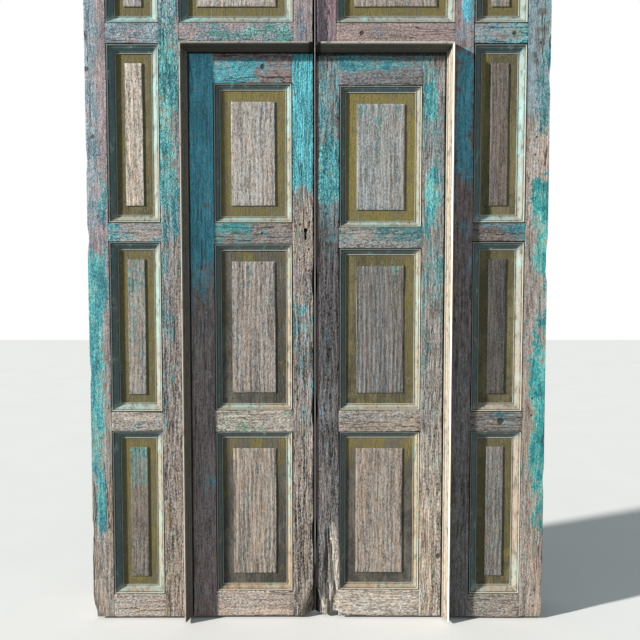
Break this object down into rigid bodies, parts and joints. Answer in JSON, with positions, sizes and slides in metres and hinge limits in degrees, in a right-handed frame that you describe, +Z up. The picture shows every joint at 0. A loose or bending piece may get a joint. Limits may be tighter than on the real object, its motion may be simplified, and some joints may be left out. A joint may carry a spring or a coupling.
{
  "type": "weathered wooden double door",
  "caption": "Weathered framed and panelled double gate with a wicket door in each leaf, in a plain timber frame.",
  "frame": {"origin": "on the floor, midway across the overall width and depth", "axes": "+Z up; +Y from the street to the inside, the way that all leaves open; +X to the right seen from the street"},
  "size_m": [1.608, 0.207, 2.674],
  "materials": {
    "stile_paint": "weathered wood with peeling turquoise and pink paint",
    "rail_paint": "weathered wood with worn pink and blue paint",
    "panel_paint": "weathered panel with ochre and grey paint",
    "moulding_paint": "chipped cream paint over bare wood",
    "frame_timber": "rough sawn, greyed",
    "oak_peg": "end grain, dirty",
    "rusty_iron": "brown rust"
  },
  "bodies": {
    "frame": {"jamb_left": "frame_timber", "jamb_right": "frame_timber", "head_beam": "frame_timber", "gate_pintles": "rusty_iron"},
    "gate_left": {"gate_left_outer_stile": "stile_paint", "gate_left_inner_stile": "stile_paint", "gate_left_meeting_stile": "stile_paint", "gate_left_side_rails": "rail_paint", "gate_left_header_rail": "rail_paint", "gate_left_top_rail": "rail_paint", "gate_left_side_panel_1": "panel_paint", "gate_left_side_panel_2": "panel_paint", "gate_left_side_panel_3": "panel_paint", "gate_left_side_panel_4": "panel_paint", "gate_left_top_panel": "panel_paint", "gate_left_mouldings": "moulding_paint", "gate_left_surround": "moulding_paint", "gate_left_pegs": "oak_peg", "gate_left_strap_hinges": "rusty_iron", "gate_left_butt_hinges": "rusty_iron"},
    "gate_right": {"gate_right_outer_stile": "stile_paint", "gate_right_inner_stile": "stile_paint", "gate_right_meeting_stile": "stile_paint", "gate_right_side_rails": "rail_paint", "gate_right_header_rail": "rail_paint", "gate_right_top_rail": "rail_paint", "gate_right_side_panel_1": "panel_paint", "gate_right_side_panel_2": "panel_paint", "gate_right_side_panel_3": "panel_paint", "gate_right_side_panel_4": "panel_paint", "gate_right_top_panel": "panel_paint", "gate_right_mouldings": "moulding_paint", "gate_right_surround": "moulding_paint", "gate_right_pegs": "oak_peg", "gate_right_strap_hinges": "rusty_iron", "gate_right_butt_hinges": "rusty_iron"},
    "wicket_left": {"wicket_left_hinge_stile": "stile_paint", "wicket_left_meeting_stile": "stile_paint", "wicket_left_bottom_rail": "rail_paint", "wicket_left_lower_rail": "rail_paint", "wicket_left_middle_rail": "rail_paint", "wicket_left_top_rail": "rail_paint", "wicket_left_panel_1": "panel_paint", "wicket_left_panel_2": "panel_paint", "wicket_left_panel_3": "panel_paint", "wicket_left_mouldings": "moulding_paint", "wicket_left_pegs": "oak_peg", "wicket_left_butt_hinges": "rusty_iron"},
    "wicket_right": {"wicket_right_hinge_stile": "stile_paint", "wicket_right_meeting_stile": "stile_paint", "wicket_right_bottom_rail": "rail_paint", "wicket_right_lower_rail": "rail_paint", "wicket_right_middle_rail": "rail_paint", "wicket_right_top_rail": "rail_paint", "wicket_right_panel_1": "panel_paint", "wicket_right_panel_2": "panel_paint", "wicket_right_panel_3": "panel_paint", "wicket_right_mouldings": "moulding_paint", "wicket_right_pegs": "oak_peg", "wicket_right_butt_hinges": "rusty_iron"}
  },
  "joints": [
    {"name": "gate_left_hinge", "type": "hinge", "parent": "frame", "child": "gate_left", "pos_m": [-0.704, 0.0075, 0.008], "axis": [0, 0, 1], "range_deg": [0, 90]},
    {"name": "gate_right_hinge", "type": "hinge", "parent": "frame", "child": "gate_right", "pos_m": [0.704, 0.0075, 0.008], "axis": [0, 0, -1], "range_deg": [0, 90]},
    {"name": "wicket_left_hinge", "type": "hinge", "parent": "gate_left", "child": "wicket_left", "pos_m": [-0.473, -0.001, 0.008], "axis": [0, 0, 1], "range_deg": [0, 95]},
    {"name": "wicket_right_hinge", "type": "hinge", "parent": "gate_right", "child": "wicket_right", "pos_m": [0.469, -0.001, 0.008], "axis": [0, 0, -1], "range_deg": [0, 95]}
  ]
}
